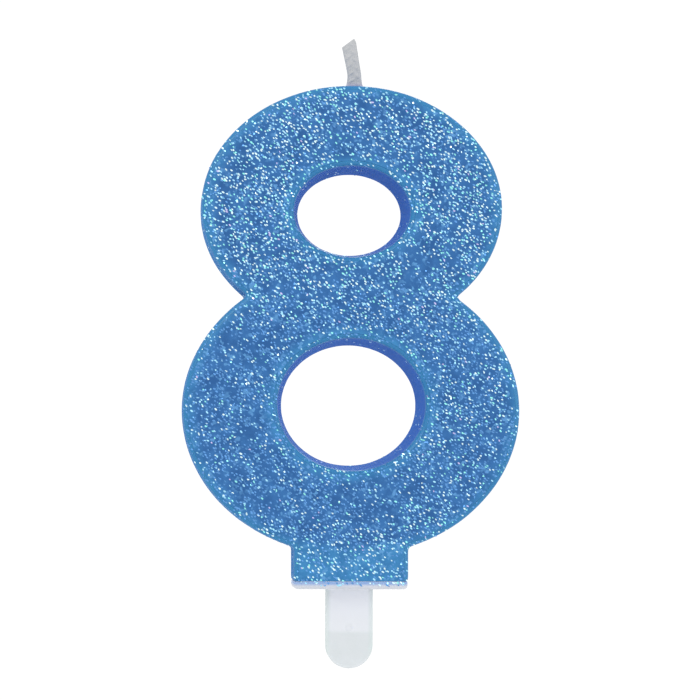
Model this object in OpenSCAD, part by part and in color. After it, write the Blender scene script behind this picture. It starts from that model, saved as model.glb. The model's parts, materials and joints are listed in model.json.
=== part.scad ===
// Numeral birthday candle: a moulded wax figure eight with glitter lacquer on both faces,
// a flat braided wick, and a plastic holder whose blade goes into the cake.
//
// Millimetres. The front faces -Y and +Z is up. The origin is the middle of the underside of
// the holder's plate, which is the face that rests on the cake.
// The numeral is drawn flat, X to the right, Y up and Z towards the viewer, and stand() then
// stands it up.

/* [Numeral] */
// Thickness of the numeral from face to face, lacquer included
body_t = 10; // [7:0.1:14]
// Width of the lower lobe
lower_w = 50.5; // [42:0.1:62]
// Height of the lower lobe
lower_h = 43.5; // [36:0.1:54]
// Width of the upper lobe
upper_w = 45.2; // [37:0.1:56]
// Height of the upper lobe
upper_h = 36.9; // [30:0.1:46]
// How far the two lobes run into each other, which sets how deep the waist's notches are
lobe_overlap = 9.9; // [7:0.1:12]
// Width of the stem
stem_w = 17.2; // [14:0.1:24]
// Height of the stem, from the holder's plate to the bottom of the lower lobe
stem_h = 3.75; // [2:0.05:8]
// Radius that rounds the front and back edges of the wax
edge_r = 0.7; // [0.3:0.05:1]
// Thickness of the glitter lacquer on each face
coat_t = 0.2; // [0.1:0.05:0.4]

/* [Counters] */
// Width of the lower counter where its wall meets the rounded front edge
lower_counter_w = 22.2; // [16:0.1:27]
// Height of the lower counter, measured in the same place
lower_counter_h = 19.8; // [14:0.1:24]
// How far the lower counter's middle is above the lower lobe's
lower_counter_up = 0.9; // [-1:0.1:2]
// Width of the upper counter where its wall meets the rounded front edge
upper_counter_w = 17.5; // [12:0.1:21]
// Height of the upper counter, measured in the same place
upper_counter_h = 13.7; // [10:0.1:17]
// How far the upper counter's middle is above the upper lobe's
upper_counter_up = -0.45; // [-2:0.05:1]
// How much nearer the counter's middle its wall is at the back, so that the mould's core pulls out
counter_taper = 0.9; // [0.2:0.05:1.4]

/* [Wick] */
// Width of the flat braid
wick_w = 2.3; // [1.6:0.1:3]
// Thickness of the flat braid
wick_t = 1; // [0.6:0.05:1.5]
// How far to the right of the numeral's middle the wick stands
wick_x = 0.5; // [0:0.1:1.5]
// Length of the bent end, from its bend to its tip
wick_end_l = 5.45; // [4:0.1:9]
// Height of the wick that stands straight up, from the wax to below the bend
wick_foot = 0.85; // [0.1:0.05:2]
// Angle that the end leans to the left
wick_lean = 10.5; // [0:0.5:20]
// Slope of the cut across the tip
wick_cut = 24; // [0:1:40]
// Wax left between the bottom of the wick and the upper counter
wick_cover = 2.2; // [1:0.1:4]
// Gap between the wick and the wax round it
wick_gap = 0.03; // [0.01:0.01:0.1]
// Gap between the wick's foot and its bent end
bend_gap = 0.05; // [0.03:0.01:0.2]

/* [Holder] */
// Thickness of the plate under the stem
plate_t = 1.2; // [0.8:0.1:2]
// Distance that the plate stays inside the stem's outline on each side
plate_inset = 0.05; // [0:0.05:0.5]
// Radius of the plate's corners, seen from above
plate_r = 1.5; // [0.5:0.1:2.5]
// Radius that rounds the plate's lower edges
plate_edge_r = 0.6; // [0.1:0.05:0.6]
// Width of the blade that goes into the cake
blade_w = 7.1; // [5:0.1:10]
// Thickness of the blade
blade_t = 2; // [1.2:0.1:3]
// Length of the blade below the plate
blade_l = 12; // [10:0.1:20]
// Length of the blade's thinned tip
blade_tip_l = 5.3; // [4:0.1:8]
// Thickness of the blade at its very tip
blade_tip_t = 0.9; // [0.6:0.1:1.2]
// Width of the tang that goes up into the wax
tang_w = 5.4; // [4:0.1:7]
// Thickness of the tang, without its ribs
tang_t = 1.6; // [1:0.1:2.4]
// Radius of the grip ribs on the tang
rib_r = 0.25; // [0.15:0.05:0.4]
// Distance of each grip rib from the tang's middle
rib_x = 1.6; // [1:0.1:2]
// Length of the tang's tapered lead-in
tang_tip_l = 2; // [1:0.1:3]
// Wax left between the tang's slot and the lower counter
tang_cover = 4; // [2:0.1:6]
// Gap between the tang and its slot, on each side
tang_gap = 0.1; // [0.05:0.01:0.2]

/* [Hidden] */
$fn = 96;

// Reach of a cutter past the face that it leaves through
over = 1;
wax_t = body_t - 2 * coat_t;
foot_z = plate_t;
lower_z = foot_z + stem_h + lower_h / 2;
upper_z = lower_z + lower_h / 2 + upper_h / 2 - lobe_overlap;
top_z = upper_z + upper_h / 2;
lower_counter_z = lower_z + lower_counter_up;
upper_counter_z = upper_z + upper_counter_up;
// The stem's bar ends inside the lower lobe, half-way between its lowest point and the counter
stem_join_z = (foot_z + stem_h + lower_counter_z - lower_counter_h / 2) / 2;

slot_top_z = lower_counter_z - lower_counter_h / 2 - edge_r - tang_cover;
tang_top_z = slot_top_z - 3 * tang_gap;
wick_bottom_z = upper_counter_z + upper_counter_h / 2 + edge_r + wick_cover;
wick_foot_z = top_z + wick_foot;
bend_z = wick_foot_z + bend_gap + wick_w / 2;

WAX = [0.2, 0.4, 0.72];
LACQUER = [0.27, 0.53, 0.8];
COTTON = [0.8, 0.8, 0.82];
CLEAR_WHITE = [0.88, 0.9, 0.93];

// Stands a flat drawing up, so that its Y becomes +Z and its front faces -Y
module stand() rotate([90, 0, 0]) children();

// An oval of the given size as a true ellipse
module oval(w, h) scale([1, h / w]) circle(d = w);

// Half of a disc's section, from the axis out to radius r, with both rims rounded
module rounded_rim(r) {
    translate([0, -wax_t / 2]) square([r - edge_r, wax_t]);
    translate([0, edge_r - wax_t / 2]) square([r, wax_t - 2 * edge_r]);
    for (side = [-1, 1])
        translate([r - edge_r, side * (wax_t / 2 - edge_r)]) circle(r = edge_r);
}

// One oval disc of the numeral
module lobe(w, h) scale([1, h / w, 1]) rotate_extrude() rounded_rim(w / 2);

// A straight bar of the numeral from height y0 to y1, with the same rounded edges
module bar(w, y0, y1)
    translate([0, y1, 0]) rotate([90, 0, 0]) linear_extrude(y1 - y0)
        for (side = [-1, 1]) scale([side, 1]) rounded_rim(w / 2);

// Half of the section of the cutter for a counter: a tapered core that flares at both mouths
module counter_section(r) {
    back_r = r - counter_taper;
    polygon([
        [0, -wax_t / 2 - over], [back_r, -wax_t / 2 - over], [back_r, edge_r - wax_t / 2],
        [r, wax_t / 2 - edge_r], [r, wax_t / 2 + over], [0, wax_t / 2 + over],
    ]);
    for (mouth = [[back_r, -1], [r, 1]])
        scale([1, mouth[1]]) difference() {
            translate([mouth[0] - edge_r, wax_t / 2 - edge_r]) square([2 * edge_r, edge_r + over]);
            translate([mouth[0] + edge_r, wax_t / 2 - edge_r]) circle(r = edge_r);
        }
}

module counter(w, h) scale([1, h / w, 1]) rotate_extrude() counter_section(w / 2);

// The slot for the tang, open at the foot
module tang_slot() {
    w = tang_w + 2 * tang_gap;
    t = tang_t + 2 * rib_r + 2 * tang_gap;
    translate([-w / 2, -t / 2, foot_z - over]) cube([w, t, slot_top_z - foot_z + over]);
}

// The hole for the wick, open at the top
module wick_hole() {
    w = wick_w + 2 * wick_gap;
    t = wick_t + 2 * wick_gap;
    translate([wick_x - w / 2, -t / 2, wick_bottom_z - wick_gap]) cube([w, t, top_z + over - wick_bottom_z]);
}

module wax_number() {
    color(WAX) difference() {
        stand() difference() {
            union() {
                translate([0, lower_z, 0]) lobe(lower_w, lower_h);
                translate([0, upper_z, 0]) lobe(upper_w, upper_h);
                bar(stem_w, foot_z, stem_join_z);
            }
            translate([0, lower_counter_z, 0]) counter(lower_counter_w, lower_counter_h);
            translate([0, upper_counter_z, 0]) counter(upper_counter_w, upper_counter_h);
        }
        tang_slot();
        wick_hole();
    }
}

// The flat part of a face, which ends where the edges start to round
module face_outline() {
    flat_stem = stem_w - 2 * edge_r;
    difference() {
        union() {
            translate([0, lower_z]) oval(lower_w - 2 * edge_r, lower_h - 2 * edge_r);
            translate([0, upper_z]) oval(upper_w - 2 * edge_r, upper_h - 2 * edge_r);
            translate([-flat_stem / 2, foot_z]) square([flat_stem, stem_join_z - foot_z]);
        }
        children();
    }
}

// The mouths of the two counters in a face, where narrowing is their taper at that face
module mouths(narrowing) {
    grown = 2 * edge_r - 2 * narrowing;
    translate([0, lower_counter_z]) oval(lower_counter_w + grown, lower_counter_h + grown);
    translate([0, upper_counter_z]) oval(upper_counter_w + grown, upper_counter_h + grown);
}

module front_glitter_coat()
    color(LACQUER) stand() translate([0, 0, wax_t / 2]) linear_extrude(coat_t) face_outline() mouths(0);

module back_glitter_coat()
    color(LACQUER) stand() translate([0, 0, -body_t / 2])
        linear_extrude(coat_t) face_outline() mouths(counter_taper);

// The straight length of the braid that the wax holds
module wick_root()
    color(COTTON) translate([wick_x - wick_w / 2, -wick_t / 2, wick_bottom_z])
        cube([wick_w, wick_t, wick_foot_z - wick_bottom_z]);

// The free end of the braid, which bends about the middle of its round lower end
module wick_end() {
    half = wick_w / 2;
    low_side = wick_end_l - wick_w * tan(wick_cut);
    color(COTTON) translate([wick_x, 0, bend_z]) rotate([90, -wick_lean, 0]) translate([0, 0, -wick_t / 2])
        linear_extrude(wick_t) {
            circle(r = half);
            polygon([[-half, 0], [half, 0], [half, wick_end_l - half / 2], [half * 0.8, wick_end_l], [-half, low_side]]);
        }
}

// A rounded rectangle that is centred on the origin
module rounded_rect(w, h, r) {
    square([w - 2 * r, h], center = true);
    square([w, h - 2 * r], center = true);
    for (x = [-1, 1], y = [-1, 1])
        translate([x * (w / 2 - r), y * (h / 2 - r)]) circle(r = r);
}

// A flat bar's section, w wide and plate_t high, with its two lower corners rounded
module plate_section(w) {
    translate([-w / 2, plate_edge_r]) square([w, plate_t - plate_edge_r]);
    translate([plate_edge_r - w / 2, 0]) square([w - 2 * plate_edge_r, plate_t]);
    for (side = [-1, 1])
        translate([side * (w / 2 - plate_edge_r), plate_edge_r]) circle(r = plate_edge_r);
}

module plate() {
    w = stem_w - 2 * plate_inset;
    d = body_t - 2 * plate_inset;
    intersection() {
        linear_extrude(plate_t) rounded_rect(w, d, plate_r);
        translate([0, d / 2, 0]) rotate([90, 0, 0]) linear_extrude(d) plate_section(w);
        translate([-w / 2, 0, 0]) rotate([90, 0, 90]) linear_extrude(w) plate_section(d);
    }
}

// The flat blade, with a round end in front view and a thinned tip in side view
module blade() {
    root_z = plate_t / 2;
    thin_z = blade_tip_l - blade_l;
    intersection() {
        rotate([90, 0, 0]) linear_extrude(blade_t, center = true) {
            translate([0, blade_w / 2 - blade_l]) circle(d = blade_w);
            translate([-blade_w / 2, blade_w / 2 - blade_l]) square([blade_w, blade_l - blade_w / 2 + root_z]);
        }
        rotate([90, 0, 90]) linear_extrude(blade_w, center = true)
            polygon([
                [-blade_t / 2, root_z], [-blade_t / 2, thin_z], [-blade_tip_t / 2, -blade_l],
                [blade_tip_t / 2, -blade_l], [blade_t / 2, thin_z], [blade_t / 2, root_z],
            ]);
    }
}

// The tang, narrowed at its top and with two grip ribs on each face
module tang() {
    root_z = plate_t / 2;
    lead_z = tang_top_z - tang_tip_l;
    lead_w = tang_w - tang_tip_l;
    rotate([90, 0, 0]) linear_extrude(tang_t, center = true)
        polygon([
            [-tang_w / 2, root_z], [tang_w / 2, root_z], [tang_w / 2, lead_z],
            [lead_w / 2, tang_top_z], [-lead_w / 2, tang_top_z], [-tang_w / 2, lead_z],
        ]);
    for (x = [-rib_x, rib_x], y = [-tang_t / 2, tang_t / 2])
        translate([x, y, root_z]) cylinder(r = rib_r, h = lead_z - root_z);
}

module cake_holder() {
    color(CLEAR_WHITE) {
        plate();
        blade();
        tang();
    }
}

wax_number();
front_glitter_coat();
back_glitter_coat();
wick_root();
wick_end();
cake_holder();
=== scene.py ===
"""Number birthday candle: a glittered wax eight on its plastic cake holder, with a braided cotton wick."""
import json
import math
import random

import bpy
from mathutils import Matrix, Vector, noise
from mathutils.bvhtree import BVHTree


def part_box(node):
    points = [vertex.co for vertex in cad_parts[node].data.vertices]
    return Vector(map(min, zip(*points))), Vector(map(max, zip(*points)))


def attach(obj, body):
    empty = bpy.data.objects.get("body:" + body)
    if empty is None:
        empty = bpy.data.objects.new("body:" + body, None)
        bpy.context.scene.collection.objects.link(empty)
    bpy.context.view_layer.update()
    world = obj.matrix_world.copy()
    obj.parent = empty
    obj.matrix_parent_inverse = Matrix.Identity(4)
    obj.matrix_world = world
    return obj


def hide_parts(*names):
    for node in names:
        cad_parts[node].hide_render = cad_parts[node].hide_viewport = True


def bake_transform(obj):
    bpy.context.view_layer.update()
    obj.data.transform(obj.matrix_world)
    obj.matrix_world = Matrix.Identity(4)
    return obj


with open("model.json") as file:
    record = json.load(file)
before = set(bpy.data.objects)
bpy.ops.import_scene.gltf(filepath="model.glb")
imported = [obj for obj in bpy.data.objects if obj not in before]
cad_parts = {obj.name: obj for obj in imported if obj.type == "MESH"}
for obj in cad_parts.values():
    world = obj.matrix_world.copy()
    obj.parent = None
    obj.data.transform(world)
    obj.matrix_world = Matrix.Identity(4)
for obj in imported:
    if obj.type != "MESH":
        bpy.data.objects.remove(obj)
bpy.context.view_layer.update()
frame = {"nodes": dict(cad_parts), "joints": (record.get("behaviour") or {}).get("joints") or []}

MM = 0.001


# ---------------------------------------------------------------------------------------------
# The studio. The candle is seen from a little to its left and from low down, through a long lens,
# in front of white paper that is lit evenly from all round. Three soft boxes give the wax its
# highlights and the glitter its sparkle.

candle_middle = Vector((0, 0, 35.9)) * MM
camera_place = Vector((-33.6, -536, 16.6)) * MM
camera_lean = math.radians(0.23)

bpy.ops.object.camera_add(location=camera_place)
camera = bpy.context.object
camera.name = "studio_camera"
camera.data.lens = 183.2
camera.data.sensor_width = 36
camera.data.clip_start = 0.01
camera.data.clip_end = 10
facing = (candle_middle - camera_place).to_track_quat("-Z", "Y").to_matrix()
camera.rotation_euler = (facing @ Matrix.Rotation(camera_lean, 3, "Z")).to_euler()
bpy.context.scene.camera = camera
bpy.context.scene.view_settings.view_transform = "Standard"

paper_drop = 500 * MM
bpy.ops.mesh.primitive_plane_add(size=6, location=(0, 0, -paper_drop))
paper = bpy.context.object
paper.name = "paper_floor"
paper_white = bpy.data.materials.new("white_paper")
paper_white.use_nodes = True
paper_face = paper_white.node_tree.nodes["Principled BSDF"]
paper_face.inputs["Base Color"].default_value = (0.93, 0.93, 0.93, 1)
paper_face.inputs["Roughness"].default_value = 0.9
paper_face.inputs["Emission Color"].default_value = (1, 1, 1, 1)
paper_face.inputs["Emission Strength"].default_value = 0.12
paper.data.materials.append(paper_white)

surroundings = bpy.data.worlds.new("white_surroundings")
bpy.context.scene.world = surroundings
surroundings.use_nodes = True
surroundings.node_tree.nodes["Background"].inputs["Color"].default_value = (1, 1, 1, 1)
surroundings.node_tree.nodes["Background"].inputs["Strength"].default_value = 1.05


def hang_soft_box(name, place, size, power):
    """A square area light at place, in millimetres, turned towards the candle."""
    bpy.ops.object.light_add(type="AREA", location=Vector(place) * MM)
    box = bpy.context.object
    box.name = name
    box.data.shape = "SQUARE"
    box.data.size = size * MM
    box.data.energy = power
    box.rotation_euler = (candle_middle - box.location).to_track_quat("-Z", "Y").to_euler()


hang_soft_box("key_box", (-260, -380, 330), 260, 0.8)
hang_soft_box("fill_box", (420, -260, 120), 300, 0.4)
hang_soft_box("back_box", (120, 420, 300), 260, 0.5)


# ---------------------------------------------------------------------------------------------
# The wax numeral. Paraffin wax dyed blue right through and cast in a two-part mould, so a parting
# line runs round its outside, its edges are softly rounded and the walls of its two counters taper.
# Its faces are never quite flat. Its rounded edges and outer walls get a painted glow of light, a lighter
# blue than the walls of its counters.


class Wire:
    """An output socket in a material's node tree. Arithmetic on it adds Math nodes to that tree."""

    def __init__(self, socket):
        self.socket = socket

    def node(self, kind, inputs, output=0, stops=(), **settings):
        """Adds a node: its settings and ramp stops first, then the values or wires of its sockets."""
        added = self.socket.id_data.nodes.new("ShaderNode" + kind)
        for setting, value in settings.items():
            setattr(added, setting, value)
        for position, colour in stops:
            stop = added.color_ramp.elements.new(position)
            stop.color = colour
        for name, value in inputs.items():
            if isinstance(value, Wire):
                self.socket.id_data.links.new(value.socket, added.inputs[name])
            else:
                added.inputs[name].default_value = value
        return Wire(added.outputs[output])

    def maths(self, operation, other=0.0, swapped=False):
        """A Math node between this wire and another wire or number, which comes first if swapped."""
        first, second = (other, self) if swapped else (self, other)
        return self.node("Math", {0: first, 1: second}, operation=operation)

    def __add__(self, other):
        return self.maths("ADD", other)

    __radd__ = __add__

    def __mul__(self, other):
        return self.maths("MULTIPLY", other)

    __rmul__ = __mul__

    def __sub__(self, other):
        return self.maths("SUBTRACT", other)

    def __rsub__(self, other):
        return self.maths("SUBTRACT", other, swapped=True)

    def __abs__(self):
        return self.maths("ABSOLUTE")

    def rising(self, low, high):
        """0 up to low and 1 from high, with a smooth climb between them."""
        places = {"Value": self, "From Min": low, "From Max": high}
        return self.node("MapRange", places, interpolation_type="SMOOTHSTEP")

    def blended(self, none, full):
        """The colour none where this is 0 and full where it is 1."""
        return self.node("Mix", {0: self, 6: none, 7: full}, output=2, data_type="RGBA")

    def axis(self, name):
        return self.node("SeparateXYZ", {"Vector": self}, output="XYZ".index(name))

    def mottled(self, grain, detail=2.0, roughness=0.5):
        """Soft noise from 0 to 1, whose patches are about grain millimetres across."""
        settings = {"Vector": self, "Scale": 1 / (grain * MM), "Detail": detail, "Roughness": roughness}
        return self.node("TexNoise", settings)

    def bump(self, height, below=None):
        """A normal for this surface height, where height is in millimetres for a value of 1."""
        inputs = {"Height": self, "Strength": 1.0, "Distance": height * MM}
        if below is not None:
            inputs["Normal"] = below
        return self.node("Bump", inputs)


def start_material(name):
    """A new material, the wire of its object coordinates and the inputs of its shader."""
    material = bpy.data.materials.new(name)
    material.use_nodes = True
    tree = material.node_tree
    place = Wire(tree.nodes.new("ShaderNodeTexCoord").outputs["Object"])
    return material, place, tree.nodes["Principled BSDF"].inputs


def plug_in(shader, name, wire):
    """Links a wire to one of the shader's sockets."""
    wire.socket.id_data.links.new(wire.socket, shader[name])


def sRGB(red, green, blue):
    """A colour as it is seen, 0 to 255 a channel, in the linear form that the shader takes."""
    def linear(level):
        share = level / 255
        return share / 12.92 if share <= 0.04045 else ((share + 0.055) / 1.055) ** 2.4
    return (linear(red), linear(green), linear(blue), 1)


def copy_of_node(node, name):
    """A separate copy of a CAD solid with its seams welded, ready to be modelled on."""
    piece = bpy.data.objects.new(name, frame["nodes"][node].data.copy())
    bpy.context.scene.collection.objects.link(piece)
    piece.data.materials.clear()
    bpy.ops.object.select_all(action="DESELECT")
    bpy.context.view_layer.objects.active = piece
    piece.select_set(True)
    bpy.ops.object.mode_set(mode="EDIT")
    bpy.ops.mesh.select_all(action="SELECT")
    bpy.ops.mesh.remove_doubles(threshold=0.001 * MM)
    bpy.ops.object.mode_set(mode="OBJECT")
    return piece


def apply_all(piece):
    """Applies the modifiers of a piece in their order."""
    bpy.ops.object.select_all(action="DESELECT")
    bpy.context.view_layer.objects.active = piece
    piece.select_set(True)
    for modifier in list(piece.modifiers):
        bpy.ops.object.modifier_apply(modifier=modifier.name)


def soften(piece, grain, rounds):
    """Rebuilds a piece as an even mesh of that grain, in millimetres, and rounds its sharp corners."""
    remesh = piece.modifiers.new("even_mesh", "REMESH")
    remesh.mode = "VOXEL"
    remesh.voxel_size = grain * MM
    smooth = piece.modifiers.new("rounded_corners", "SMOOTH")
    smooth.factor = 0.5
    smooth.iterations = rounds
    apply_all(piece)
    bpy.ops.object.shade_smooth()


def carve(piece, tool):
    """Takes the shape of a tool out of a piece, and then removes the tool."""
    cut = piece.modifiers.new("cut", "BOOLEAN")
    cut.object = tool
    cut.operation = "DIFFERENCE"
    apply_all(piece)
    bpy.data.objects.remove(tool)


wax = copy_of_node("wax_number", "cast_wax_eight")
soften(wax, grain=0.32, rounds=2)

cast_ripple = bpy.data.textures.new("cast_ripple", "CLOUDS")
cast_ripple.noise_scale = 7 * MM
ripple = wax.modifiers.new("cast_ripple", "DISPLACE")
ripple.texture = cast_ripple
ripple.texture_coords = "LOCAL"
ripple.strength = 0.09 * MM
apply_all(wax)

# The ovals that bound the faces: the height of each one's middle, and its half width and half height
lower_lobe = (26.7, 25.25, 21.75)
upper_lobe = (57.0, 22.6, 18.45)
lower_counter = (27.6, 11.1, 9.9)
upper_counter = (56.55, 8.75, 6.85)
# The rounded edges of the wax start this far from the middle of its thickness and end at its faces
edge_from = 3.7
edge_to = 4.5


def ring(place, oval):
    """A wire that is 1 on an oval, less inside it and more outside it."""
    middle, half_width, half_height = oval
    across = place.axis("X") * (1 / (half_width * MM))
    up = (place.axis("Z") - middle * MM) * (1 / (half_height * MM))
    return (across * across + up * up).maths("SQRT")


blue_wax, place, shader = start_material("dyed_paraffin_wax")
edge = abs(place.axis("Y")).rising(edge_from * MM, edge_to * MM)
cloudy = place.mottled(5, detail=3)
deep = cloudy.blended(sRGB(42, 92, 171), sRGB(55, 107, 186))
# Painted light: the rounded edges, and the outer walls at 0.6, take a lighter blue, a painted glow of
# light through the thin wax
painted_edge_glow = cloudy.blended(sRGB(42, 108, 158), sRGB(54, 126, 174))
outside = ring(place, lower_lobe).rising(0.93, 0.97) * ring(place, upper_lobe).rising(0.93, 0.97)
plug_in(shader, "Base Color", edge.maths("MAXIMUM", 0.6 * outside).blended(deep, painted_edge_glow))
plug_in(shader, "Roughness", 0.8 - 0.45 * edge)
plug_in(shader, "Coat Weight", 0.2 * edge)
waves = place.mottled(3.5, detail=1).bump(0.12)
parting_line = outside - outside * abs(place.axis("Y")).rising(0.05 * MM, 0.25 * MM)
seam = parting_line.bump(0.06, below=waves)
plug_in(shader, "Normal", place.mottled(0.35, detail=2).bump(0.006, below=seam))
shader["Subsurface Weight"].default_value = 0.15
shader["Subsurface Radius"].default_value = (0.3, 0.7, 1.4)
shader["Subsurface Scale"].default_value = 1 * MM
shader["Specular IOR Level"].default_value = 0.1
shader["Coat Roughness"].default_value = 0.2
wax.data.materials.append(blue_wax)

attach(wax, "candle")
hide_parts("wax_number")


# ---------------------------------------------------------------------------------------------
# The glitter coats. Each face is brushed with clear lacquer and dusted with holographic film cut
# into tiny flakes. The flakes lie nearly flat but each has its own tilt, and they lie in drifts with
# thin places between. Some flakes get a bright tint, a painted glint, and the rest a dull tint.

lacquer_thickness = 0.12
flake_width = 0.24
flake_length = 0.45
flake_thickness = 0.03
flake_tilt = math.radians(8)
flake_spacing = 0.45
flakes_on_walls = 280
# The direction in which most flakes lie, from upper left to lower right, and how far they stray from it
flake_heading = math.radians(-38)
heading_spread = 0.22
# How the flakes differ from one another in size and in brightness
flake_sizes = (0.75, 1.2)
flake_gleams = (0.8, 1.1)
# The chance that a flake stays where it falls, and how much the narrow drifts that the brush leaves
# and the broad thick and thin patches add to it or take away
usual_chance = 0.68
drift_length = 2.8
drift_width = 1.2
drift_strength = 0.6
patch_length = 9
patch_width = 7
patch_strength = 0.45
# The tints of the bright flakes, which are painted glints, with how common each is among them, and the
# tint of the dull ones
flake_tints = (
    (0.36, sRGB(218, 249, 255)),
    (0.44, sRGB(166, 226, 255)),
    (0.18, sRGB(150, 240, 236)),
    (0.02, sRGB(200, 196, 244)),
)
dull_tint = sRGB(94, 152, 214)
# The share of painted glints changes where the lower lobe turns into the upper one over the waist_height
# above waist_from, and where the stem turns into the lower lobe over the stem_height below stem_to
waist_from = 36
waist_height = 14
stem_to = 11
stem_height = 6


def lay_lacquer(node, name, outward):
    """The film of lacquer on one face, thinning out to nothing at its edges. outward is -1 in front."""
    film = copy_of_node(node, name)
    low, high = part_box(node)
    wax_side = high.y if outward < 0 else low.y
    bpy.ops.object.mode_set(mode="EDIT")
    bpy.ops.mesh.select_mode(type="FACE")
    bpy.ops.mesh.select_all(action="DESELECT")
    bpy.ops.object.mode_set(mode="OBJECT")
    for face in film.data.polygons:
        face.select = face.normal.y * outward > 0.9
    bpy.ops.object.mode_set(mode="EDIT")
    # The face is pressed down to the wax and then raised from it in steps that round off its edges
    pressed_to = 0.02
    rise_steps = 4
    bpy.ops.transform.resize(value=(1, pressed_to, 1), center_override=(0, wax_side, 0))
    for step in range(rise_steps):
        start = math.cos(math.pi / 2 * step / rise_steps)
        end = math.cos(math.pi / 2 * (step + 1) / rise_steps)
        climb = math.sin(math.pi / 2 * (step + 1) / rise_steps) - math.sin(math.pi / 2 * step / rise_steps)
        bpy.ops.mesh.inset(thickness=(start - end) * lacquer_thickness * MM, use_even_offset=True)
        bpy.ops.transform.translate(value=(0, outward * climb * lacquer_thickness * MM, 0))
    bpy.ops.object.mode_set(mode="OBJECT")
    bpy.ops.object.shade_smooth()
    return film


def flake_likelihood(x, z, seed):
    """How likely a flake is to stay where it falls."""
    along = (x * math.cos(flake_heading) + z * math.sin(flake_heading)) / MM
    across = (z * math.cos(flake_heading) - x * math.sin(flake_heading)) / MM
    drift = noise.noise(Vector((along / drift_length, across / drift_width, seed)))
    patch = noise.noise(Vector((along / patch_length, across / patch_width, seed + 20)))
    return usual_chance + drift_strength * drift + patch_strength * patch


def painted_glint_share(x, z):
    """How many of the flakes here get a bright tint, a painted glint: more on the upper lobe, on the stem
    and towards the right below the upper lobe.
    """
    on_upper_lobe = min(max((z / MM - waist_from) / waist_height, 0), 1)
    on_stem = min(max((stem_to - z / MM) / stem_height, 0), 1)
    to_the_right = 0.005 * x / MM * (1 - on_upper_lobe)
    upper_lobe_share = 0.38 * on_upper_lobe * on_upper_lobe * (3 - 2 * on_upper_lobe)
    return 0.34 + upper_lobe_share + 0.28 * on_stem + to_the_right


def fallen_flakes(grounds, low, high, outward, draw, seed):
    """Where flakes come to rest: spots and normals on the first of the grounds that each falls on."""
    surfaces = []
    for ground in grounds:
        corners = [corner.co for corner in ground.data.vertices]
        surfaces.append(BVHTree.FromPolygons(corners, [face.vertices for face in ground.data.polygons]))
    rests = []
    spacing = flake_spacing * MM
    drop_from = 100 * MM
    for row in range(math.ceil((high.z - low.z) / spacing)):
        for column in range(math.ceil((high.x - low.x) / spacing)):
            x = low.x + (column + draw.random()) * spacing
            z = low.z + (row + draw.random()) * spacing
            fall = (Vector((x, outward * drop_from, z)), Vector((0, -outward, 0)))
            drops = [surface.ray_cast(*fall) for surface in surfaces]
            spot, normal = next((drop[:2] for drop in drops if drop[0] is not None), (None, None))
            if spot is not None and draw.random() < flake_likelihood(x, z, seed) * normal.y ** 2:
                rests.append((spot, normal))
    return rests


def lay_flakes(name, rests, draw):
    """A mesh with one closed six-sided flake on each of the spots, nearly square to its normal."""
    bpy.ops.mesh.primitive_cylinder_add(vertices=6, radius=0.5, depth=1, rotation=(math.pi / 2, 0, 0))
    pattern = bpy.context.object
    bpy.ops.object.transform_apply(location=False, rotation=True, scale=False)
    shape = [corner.co.copy() for corner in pattern.data.vertices]
    sides = [tuple(face.vertices) for face in pattern.data.polygons]
    bpy.data.objects.remove(pattern)

    points = []
    faces = []
    tints = []
    for spot, normal in rests:
        size = draw.uniform(*flake_sizes)
        stretch = Matrix.Diagonal((flake_width * size, flake_thickness, flake_length * size)) * MM
        heading = Matrix.Rotation(math.pi / 2 - draw.gauss(flake_heading, heading_spread), 3, "Y")
        nod = Matrix.Rotation(draw.gauss(0, flake_tilt), 3, "X")
        sway = Matrix.Rotation(draw.gauss(0, flake_tilt), 3, "Z")
        lie = Vector((0, math.copysign(1, normal.y), 0)).rotation_difference(normal).to_matrix()
        turn = lie @ nod @ sway @ heading @ stretch
        first = len(points)
        points.extend(turn @ corner + spot for corner in shape)
        faces.extend(tuple(first + corner for corner in side) for side in sides)
        tint = draw.choices([tint for _, tint in flake_tints], [share for share, _ in flake_tints])[0]
        # A flake that draws no painted glint takes the dull tint
        if draw.random() > painted_glint_share(spot.x, spot.z):
            tint = dull_tint
        gleam = draw.uniform(*flake_gleams)
        tints.extend([min(1, level * gleam) for level in tint[:3]] + [1] for _ in shape)
    mesh = bpy.data.meshes.new(name)
    mesh.from_pydata(points, [], faces)
    colours = mesh.color_attributes.new("tint", "FLOAT_COLOR", "POINT")
    colours.data.foreach_set("color", [level for tint in tints for level in tint])
    flakes = bpy.data.objects.new(name, mesh)
    bpy.context.scene.collection.objects.link(flakes)
    return flakes


lacquer, place, shader = start_material("glitter_lacquer")
patchy = place.mottled(2.2, detail=3, roughness=0.6).rising(0.3, 0.7)
inner_ground = patchy.blended(sRGB(30, 82, 138), sRGB(44, 100, 158))
# Painted highlight: the lacquer is a lighter blue along the outer rims of each face and round the counters
painted_rim_highlight = patchy.blended(sRGB(40, 104, 156), sRGB(54, 124, 176))
inside = 1 - ring(place, lower_lobe).rising(0.9, 0.99) * ring(place, upper_lobe).rising(0.88, 0.99)
beside_counters = (
    ring(place, lower_counter).rising(1.05, 1.25) * ring(place, upper_counter).rising(1.05, 1.3)
)
ground = (inside * beside_counters).blended(painted_rim_highlight, inner_ground)
fine = place.node("TexVoronoi", {"Vector": place, "Scale": 1 / (0.4 * MM)}, output="Color").axis("X")
sunk = fine.rising(0.72, 0.95) * place.mottled(1.4).rising(0.35, 0.65)
plug_in(shader, "Base Color", (sunk * 0.8).blended(ground, sRGB(88, 146, 196)))
plug_in(shader, "Roughness", 0.3 + 0.2 * patchy)
plug_in(shader, "Normal", place.mottled(0.5, detail=2).bump(0.03))
shader["Specular IOR Level"].default_value = 0.2
shader["Coat Weight"].default_value = 0.1
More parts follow.
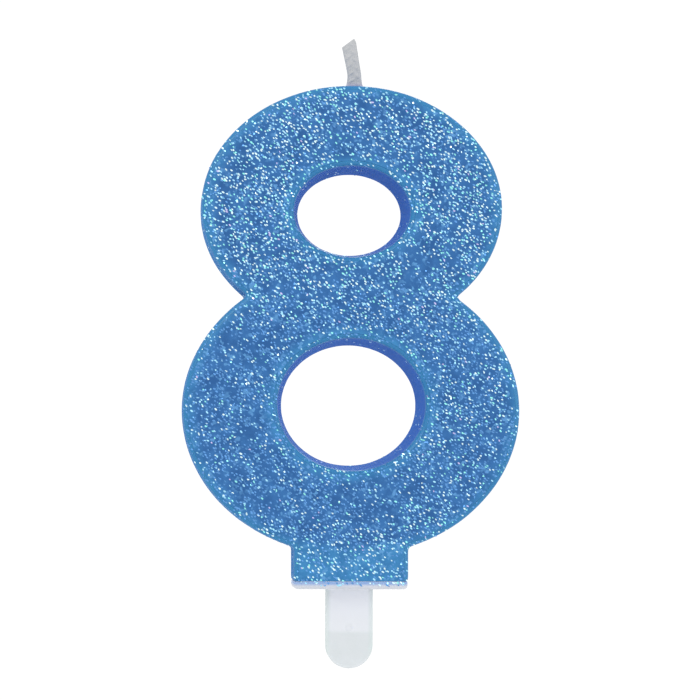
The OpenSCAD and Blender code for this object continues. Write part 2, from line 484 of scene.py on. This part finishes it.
shader["Coat Roughness"].default_value = 0.15

holographic, place, shader = start_material("holographic_flakes")
plug_in(shader, "Base Color", place.node("Attribute", {}, attribute_name="tint"))
shader["Metallic"].default_value = 0.6
shader["Roughness"].default_value = 0.22

for side, outward, seed in (("front", -1, 8), ("back", 1, 31)):
    node = side + "_glitter_coat"
    film = lay_lacquer(node, side + "_lacquer_film", outward)
    film.data.materials.append(lacquer)
    draw = random.Random(seed)
    rests = fallen_flakes((film, wax), *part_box("wax_number"), outward, draw, seed)
    flakes = lay_flakes(side + "_glitter_flakes", rests, draw)
    flakes.data.materials.append(holographic)
    for piece in (film, flakes):
        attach(piece, "candle")
        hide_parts(node)

# A few flakes cling to the walls of the wax
draw = random.Random(3)
walls = [face for face in wax.data.polygons if abs(face.normal.y) < 0.3]
wall_rests = [(face.center, face.normal) for face in draw.sample(walls, flakes_on_walls)]
wall_flakes = lay_flakes("wall_glitter_flakes", wall_rests, draw)
wall_flakes.data.materials.append(holographic)
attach(wall_flakes, "candle")
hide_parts("wax_number")


# ---------------------------------------------------------------------------------------------
# The wick. Cotton yarns plaited in three strands to a flat braid, dipped in wax so that they cling
# together. It stands straight out of the wax that is cast round it, leans over at a soft bend and is
# snipped off at a slant.

strand_sway = 0.66
strand_weave = 0.16
strand_pitch = 3.6
strands = 3
yarn_offset = 0.2
yarn_pitch = 1.9
yarns = 3
yarn_radius = 0.23
braid_flatness = 0.6
# The wax that fills the braid
filling_radius = 0.38
filling_spread = 0.68
# How wide the braid lies, as a share of its plaited width: the wax that has crept up from the candle
# spreads it at its foot, and it frays towards its snipped end
usual_splay = 0.95
foot_splay = 0.42
foot_height = 0.8
fray_splay = 0.14
fray_height = 7
wick_lean = math.radians(-10.5)
bend_length = 1.3
tip_length = 5.45
half_width = 1.15
# The snipped end: how far its left corner, its peak and its right corner are from the bend
left_corner = (-half_width, 4.43)
peak = (0.92, tip_length)
right_corner = (half_width, 4.87)
# The size of the block that each of the two straight cuts takes away
snip_size = 6

root_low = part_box("wick_root")[0]
top_of_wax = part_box("wax_number")[1].z / MM
bend = Vector(next(joint for joint in frame["joints"] if joint["name"] == "wick_bend")["pos_m"])
straight_length = (bend.z - root_low.z) / MM


def lean_at(distance):
    """How far the braid leans at this distance from its foot, in millimetres."""
    share = min(max((distance - straight_length) / bend_length + 0.5, 0), 1)
    return wick_lean * share * share * (3 - 2 * share)


def splay_at(distance):
    """How wide the braid lies at this distance from its foot."""
    above_wax = root_low.z / MM + distance - top_of_wax
    at_foot = foot_splay * math.exp(-abs(above_wax) / foot_height)
    frayed = fray_splay * (max(above_wax, 0) / fray_height) ** 1.5
    return usual_splay + at_foot + frayed


def yarn_place(strand, yarn, distance):
    """Where the middle of a yarn is in the braid's section, at this distance from the wick's foot."""
    sway = 2 * math.pi * (distance / strand_pitch + strand / strands)
    twist = 2 * math.pi * (distance / yarn_pitch + yarn / yarns)
    across = strand_sway * math.sin(sway) + yarn_offset * math.cos(twist)
    through = strand_weave * math.sin(2 * sway) + yarn_offset * braid_flatness * math.sin(twist)
    return splay_at(distance) * across, through


def filling_place(share, distance):
    """The same for one of the threads of wax that fill the braid, share of the way across it, -1 to 1."""
    return share * (splay_at(distance) * (filling_spread + filling_radius) - filling_radius), 0


def lay_thread(radius, place_at):
    """A round thread that bends as the braid does, from the wick's foot to beyond its snipped end."""
    steps_per_mm = 6
    line = bpy.data.curves.new("thread", "CURVE")
    line.dimensions = "3D"
    line.bevel_depth = radius * MM
    line.bevel_resolution = 3
    line.use_fill_caps = True
    spline = line.splines.new("POLY")
    spline.points.add(round((straight_length + tip_length + 1) * steps_per_mm) - 1)
    middle = Vector((bend.x, bend.y, root_low.z)) / MM
    for step, point in enumerate(spline.points):
        lean = lean_at(step / steps_per_mm)
        across, through = place_at(step / steps_per_mm)
        offset = Vector((across * math.cos(lean), through, -across * math.sin(lean)))
        point.co = ((middle + offset) * MM).to_4d()
        middle = middle + Vector((math.sin(lean), 0, math.cos(lean))) / steps_per_mm
    thread = bpy.data.objects.new("thread", line)
    bpy.context.scene.collection.objects.link(thread)
    return thread


threads = [
    lay_thread(yarn_radius, lambda distance, strand=strand, yarn=yarn: yarn_place(strand, yarn, distance))
    for strand in range(strands) for yarn in range(yarns)
]
threads += [
    lay_thread(filling_radius, lambda distance, share=share: filling_place(share, distance))
    for share in (-1, -0.5, 0, 0.5, 1)
]
bpy.ops.object.select_all(action="DESELECT")
for thread in threads:
    thread.select_set(True)
wick = threads[0]
wick.name = "braided_wick"
bpy.context.view_layer.objects.active = wick
bpy.ops.object.convert(target="MESH")
bpy.ops.object.join()
soften(wick, grain=0.06, rounds=8)

along = Vector((math.sin(wick_lean), 0, math.cos(wick_lean)))
across = Vector((math.cos(wick_lean), 0, -math.sin(wick_lean)))
corners = [bend + (across * side + along * up) * MM for side, up in (left_corner, peak, right_corner)]
for start, end in zip(corners, corners[1:]):
    cut = end - start
    outward = Vector((-cut.z, 0, cut.x)).normalized()
    bpy.ops.mesh.primitive_cube_add(
        size=snip_size * MM, location=(start + end) / 2 + outward * snip_size / 2 * MM,
        rotation=(0, math.atan2(-cut.z, cut.x), 0),
    )
    carve(wick, bpy.context.object)
soften(wick, grain=0.055, rounds=2)

cotton, place, shader = start_material("waxed_cotton")
fibre = place.mottled(0.25, detail=3)
tone = (0.7 * place.mottled(0.8) + 0.3 * fibre).rising(0.3, 0.7)
dry = tone.blended(sRGB(170, 172, 174), sRGB(178, 179, 181))
crept = 1 - place.axis("Z").rising(top_of_wax * MM, (top_of_wax + 1.1) * MM)
plug_in(shader, "Base Color", (0.7 * crept).blended(dry, sRGB(172, 164, 196)))
plug_in(shader, "Roughness", 0.65 + 0.2 * fibre)
plug_in(shader, "Normal", fibre.bump(0.01))
shader["Specular IOR Level"].default_value = 0.25
shader["Subsurface Weight"].default_value = 0.1
shader["Subsurface Radius"].default_value = (1, 1, 1)
shader["Subsurface Scale"].default_value = 0.3 * MM
wick.data.materials.append(cotton)

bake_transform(wick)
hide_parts("wick_root", "wick_end")


# ---------------------------------------------------------------------------------------------
# The cake holder. One moulding of frosted polypropylene: a plate under the stem, a ribbed tang that
# grips the slot in the wax, and a flat blade with a round, thinned end that is pushed into the
# cake. An ejector pin has left its shallow round mark on the blade.

pin_radius = 0.6
pin_depth = 0.14
pin_height = -5.9
blade_front = -1.0
thin_tip_from = -6.7

holder = copy_of_node("cake_holder", "frosted_holder")
bpy.ops.mesh.primitive_cylinder_add(
    vertices=48, radius=pin_radius * MM, depth=2 * pin_depth * MM,
    location=Vector((0, blade_front, pin_height)) * MM, rotation=(math.pi / 2, 0, 0),
)
carve(holder, bpy.context.object)
soften(holder, grain=0.12, rounds=6)

frosted, place, shader = start_material("frosted_polypropylene")
height = place.axis("Z")
milky = place.mottled(2.5)
tip_colour = milky.blended(sRGB(195, 201, 203), sRGB(204, 208, 212))
# Painted light: the blade is lighter towards the plate, to undo the shade that the plate casts on it
painted_light_near_plate = height.rising(-5.5 * MM, -0.3 * MM)
blade_colour = painted_light_near_plate.blended(sRGB(209, 212, 217), sRGB(222, 225, 232))
# Painted shade: the plate's edge is a darker copy of the same plastic as the blade
shaded_plate_colour = milky.blended(sRGB(184, 189, 198), sRGB(195, 198, 207))
blade_share = height.rising((thin_tip_from - 0.1) * MM, (thin_tip_from + 0.6) * MM)
# Painted shade: the sides of the blade and its tip are darkened towards a greenish grey
painted_side_shade = abs(place.axis("X")).rising(2.6 * MM, 3.5 * MM)
blade_and_tip = (0.6 * painted_side_shade).blended(
    blade_share.blended(tip_colour, blade_colour), sRGB(186, 198, 196)
)
plate_share = height.rising(-0.2 * MM, 0.1 * MM)
body_colour = plate_share.blended(blade_and_tip, shaded_plate_colour)
# The upper half of the plate's edge is painted blue: painted light from the wax that stands on it
near_wax = height.rising(0.4 * MM, 0.95 * MM) - height.rising(1.05 * MM, 1.3 * MM)
painted_wax_glow = near_wax * (0.6 + 0.4 * milky)
plug_in(shader, "Base Color", painted_wax_glow.blended(body_colour, sRGB(108, 148, 204)))
plug_in(shader, "Roughness", 0.38 + 0.14 * place.mottled(0.8))
plug_in(shader, "Normal", place.mottled(0.25).bump(0.01))
shader["Specular IOR Level"].default_value = 0.35
shader["Subsurface Weight"].default_value = 0.35
shader["Subsurface Radius"].default_value = (1, 1, 1)
shader["Subsurface Scale"].default_value = 1.2 * MM
holder.data.materials.append(frosted)

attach(holder, "holder")
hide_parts("cake_holder")

# A few flakes cling to the edge of the plate
plate_low = Vector((-8.4, 0, 0.5)) * MM
plate_high = Vector((8.4, 0, 1.15)) * MM
for side, outward, seed in (("front", -1, 5), ("back", 1, 6)):
    draw = random.Random(seed)
    rests = fallen_flakes((holder,), plate_low, plate_high, outward, draw, seed)
    strays = lay_flakes(side + "_stray_flakes", rests, draw)
    strays.data.materials.append(holographic)
    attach(strays, "holder")
    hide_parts("cake_holder")
